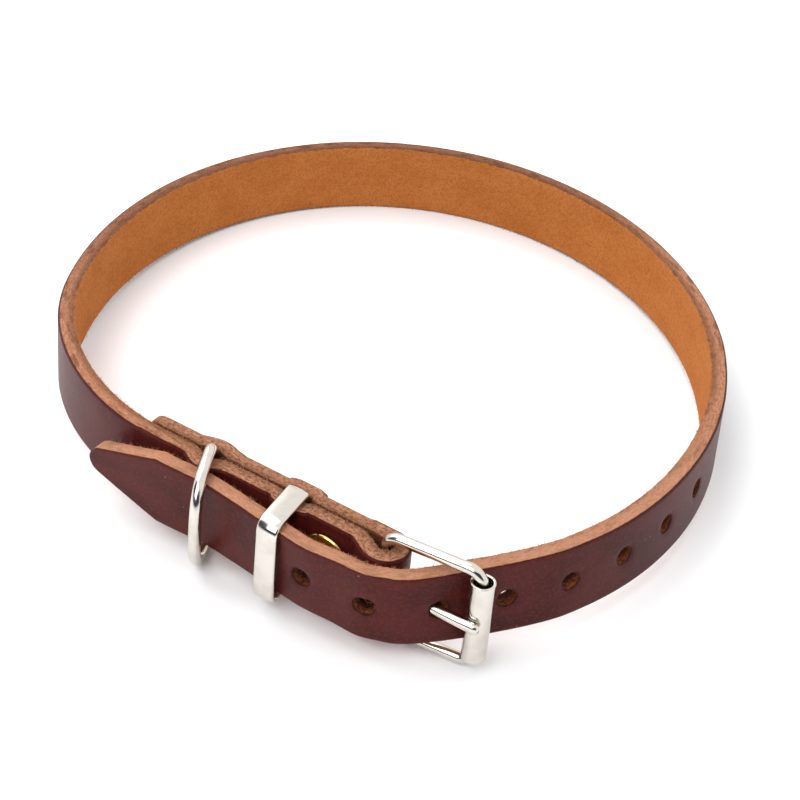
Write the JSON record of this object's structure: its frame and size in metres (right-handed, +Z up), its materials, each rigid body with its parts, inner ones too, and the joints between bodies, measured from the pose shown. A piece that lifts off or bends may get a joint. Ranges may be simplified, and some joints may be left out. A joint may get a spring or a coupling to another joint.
{
  "type": "buckled leather dog collar",
  "caption": "Fastened leather collar with a roller buckle, a keeper, a D-ring and riveted plies, standing on its lower edge.",
  "frame": {"origin": "centre of the bounding box at floor level, under the middle of the neck loop", "axes": "+Z up across the strap's width, front with the buckle towards -Y, the long way round the neck along Y"},
  "size_m": [0.1402, 0.1562, 0.0246],
  "materials": {
    "strap_leather": "smooth waxed grain side, raw flesh side and raw cut edges",
    "nickel_fittings": "polished nickel plate",
    "brass_rivets": "polished"
  },
  "bodies": {
    "collar": {"strap": "strap_leather", "buckle_frame": "nickel_fittings", "buckle_roller": "nickel_fittings", "buckle_tongue": "nickel_fittings", "keeper": "nickel_fittings", "rivet_1": "brass_rivets", "rivet_2": "brass_rivets", "rivet_3": "brass_rivets"},
    "d_ring": {"d_ring": "nickel_fittings"}
  },
  "joints": [
    {"name": "d_ring_swing", "type": "hinge", "parent": "collar", "child": "d_ring", "pos_m": [-0.03212, -0.04461, 0.01175], "axis": [-0.0046, -0.0343, -0.9994], "range_deg": [0, 50]}
  ]
}
